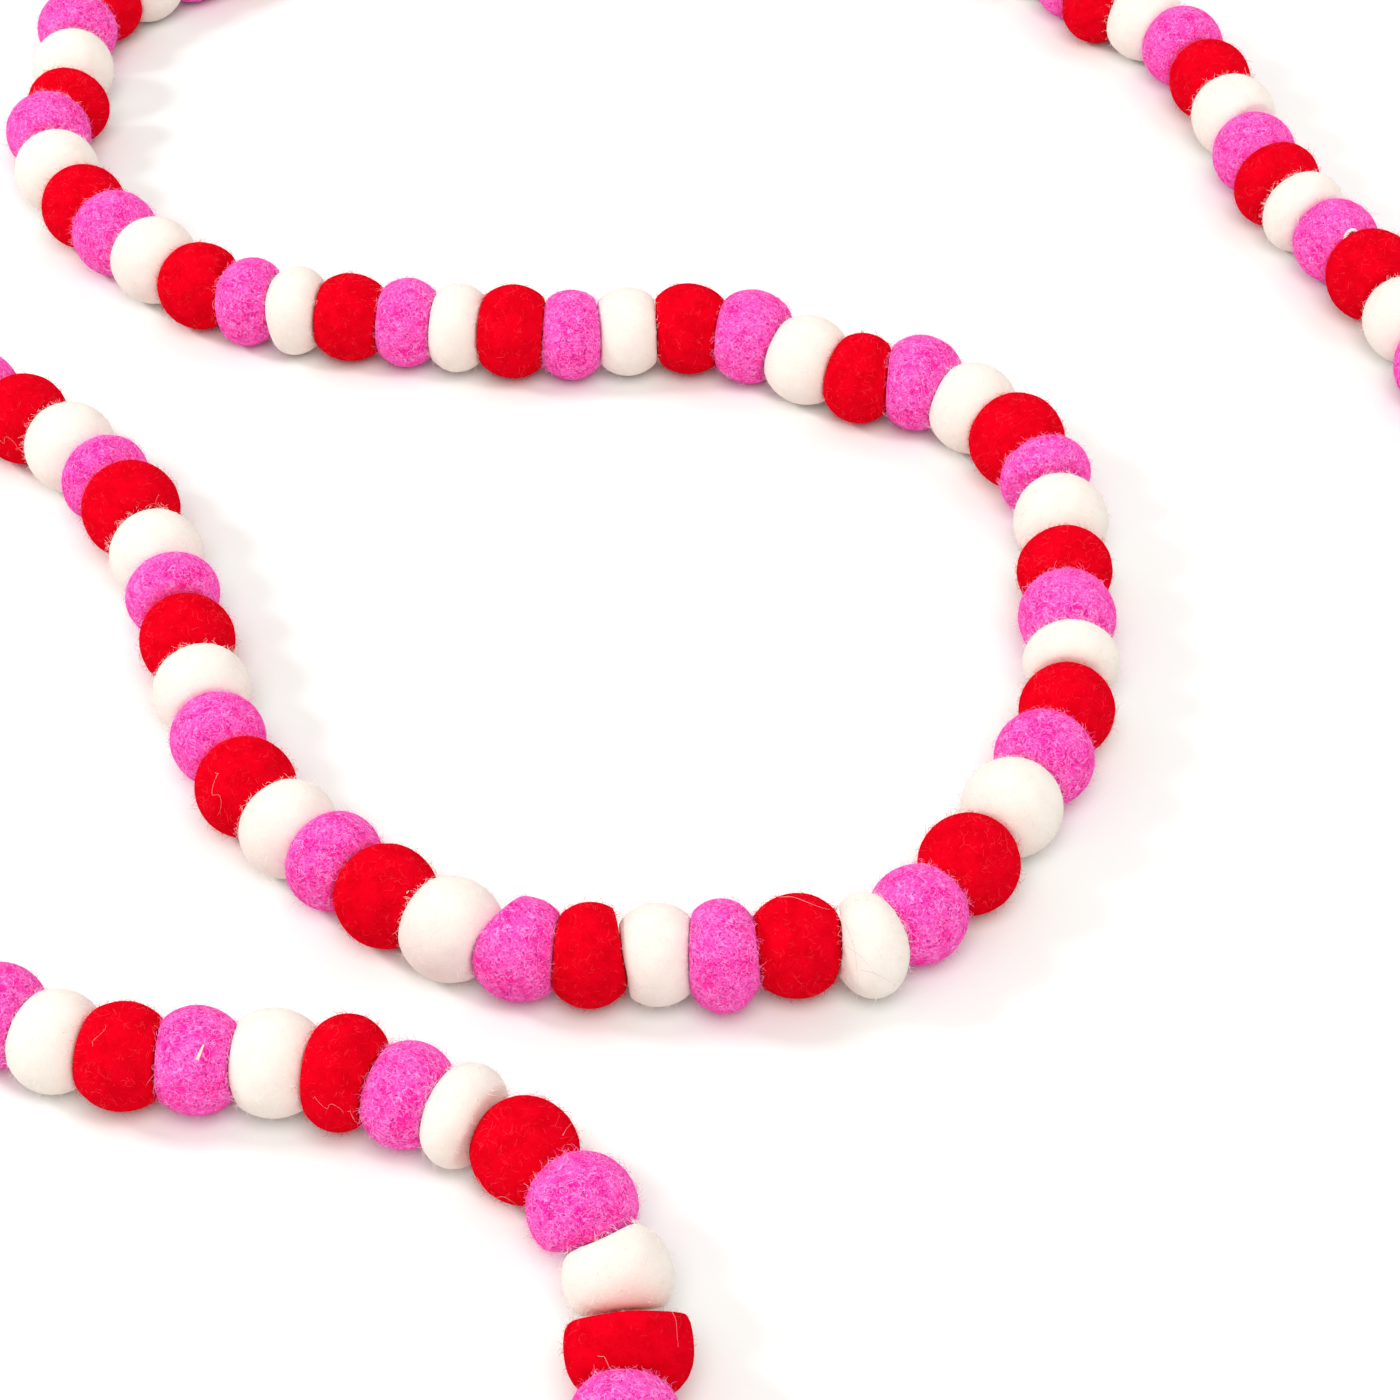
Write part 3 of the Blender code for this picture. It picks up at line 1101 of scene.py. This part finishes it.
def seam_arc(seam):
    """The stretch of thread that stands out of a contact between two balls."""
    side = np.array(seam.direction.cross(Vector((0, 0, 1))).normalized())
    lift = np.cross(side, np.array(seam.direction))
    turn = math.radians(ARC_TURN)
    out = side * math.cos(turn) + lift * math.sin(turn)
    aside = np.cross(out, np.array(seam.direction))
    line = []
    for share in np.linspace(0, 1, ARC_STEPS):
        bow = math.sin(math.pi * share)
        reach = seam.rim - ARC_DEPTH + (ARC_DEPTH + ARC_HEIGHT) * bow**ARC_ROUNDNESS
        along = aside * ARC_HALF_WIDTH * math.cos(math.pi * share)
        line.append(np.array(seam.middle) + out * reach + along)
    return line


def make_thread(balls, seams, finish):
    """The thread through all balls, its knots and tails, and the arc that shows between two balls."""
    shape = Shape()
    core = []
    for number in range(1, BALL_COUNT + 1):
        core.append(tuple(balls[number].middle))
        if number < BALL_COUNT:
            core.append(tuple(seams[number].middle))
    add_tube(shape, core, THREAD_RADIUS, CORE_SIDES)
    for ball, outward in ((balls[1], -balls[1].axis), (balls[BALL_COUNT], balls[BALL_COUNT].axis)):
        for line in thread_end(ball, outward):
            add_plied(shape, line)
    add_plied(shape, seam_arc(seams[ARC_SEAM]))
    shape.piece("plied_thread", [finish], "cotton_thread", "thread")


# Floor, light and camera

FLOOR_WIDTH = 14.0
FLOOR_SWELL = 0.5
FLOOR_TONES = ((0.823, 0.837, 0.808, 1.0), (0.833, 0.847, 0.816, 1.0))
SKY_STRENGTH = 0.62


def make_floor():
    finish = Finish("pale_floor")
    tone = finish.cloud(finish.place(), FLOOR_SWELL)
    finish.shine(Base_Color=finish.blend(tone, *FLOOR_TONES), Roughness=0.9, Specular_IOR_Level=0.2)
    half = FLOOR_WIDTH / 2
    mesh = bpy.data.meshes.new("floor")
    corners = [(-half, -half, 0), (half, -half, 0), (half, half, 0), (-half, half, 0)]
    mesh.from_pydata(corners, [], [(0, 1, 2, 3)])
    mesh.materials.append(finish.material)
    floor = bpy.data.objects.new("floor", mesh)
    bpy.context.scene.collection.objects.link(floor)


# Lamps: name, place, point aimed at, width and power.
LAMPS = (
    ("window", (-1.15, 0.10, 0.95), (0.03, -0.05, 0.0), 0.37, 9.6),
    ("ceiling", (0.10, -1.10, 2.10), (0.03, -0.05, 0.0), 1.70, 32.0),
    ("bounce", (0.50, 0.30, 0.55), (0.27, 0.15, 0.0), 0.50, 0.80),
)


def make_light():
    world = bpy.data.worlds.new("studio")
    world.use_nodes = True
    backdrop = world.node_tree.nodes["Background"]
    backdrop.inputs["Color"].default_value = (1.0, 1.0, 1.0, 1.0)
    backdrop.inputs["Strength"].default_value = SKY_STRENGTH
    bpy.context.scene.world = world
    for name, place, aim, width, power in LAMPS:
        light = bpy.data.lights.new(name, "AREA")
        light.shape = "DISK"
        light.size = width
        light.energy = power
        lamp = bpy.data.objects.new(name, light)
        lamp.location = place
        lamp.rotation_euler = (Vector(aim) - Vector(place)).to_track_quat("-Z", "Y").to_euler()
        bpy.context.scene.collection.objects.link(lamp)


def make_camera():
    lens = bpy.data.cameras.new("camera")
    lens.lens = LENS
    lens.sensor_width = SENSOR_WIDTH
    lens.clip_start = 0.05
    lens.clip_end = 50.0
    camera = bpy.data.objects.new("camera", lens)
    camera.location = CAMERA_PLACE
    camera.rotation_euler = (math.radians(CAMERA_TILT), 0.0, 0.0)
    bpy.context.scene.collection.objects.link(camera)
    bpy.context.scene.camera = camera


bpy.context.scene.view_settings.view_transform = "Standard"
felts = [felt(*row) for row in FELTS]
fuzzes = [(slot, strand_finish(*row)) for slot, *row in FUZZES]
hairs = {tone: strand_finish(*row) for tone, *row in HAIRS}
cotton = strand_finish(*COTTON)
balls, seams = make_balls()
make_felt_balls(balls, felts)
make_fuzz(balls, fuzzes)
make_stray_hairs(balls, hairs)
make_thread(balls, seams, cotton)
make_floor()
make_light()
make_camera()
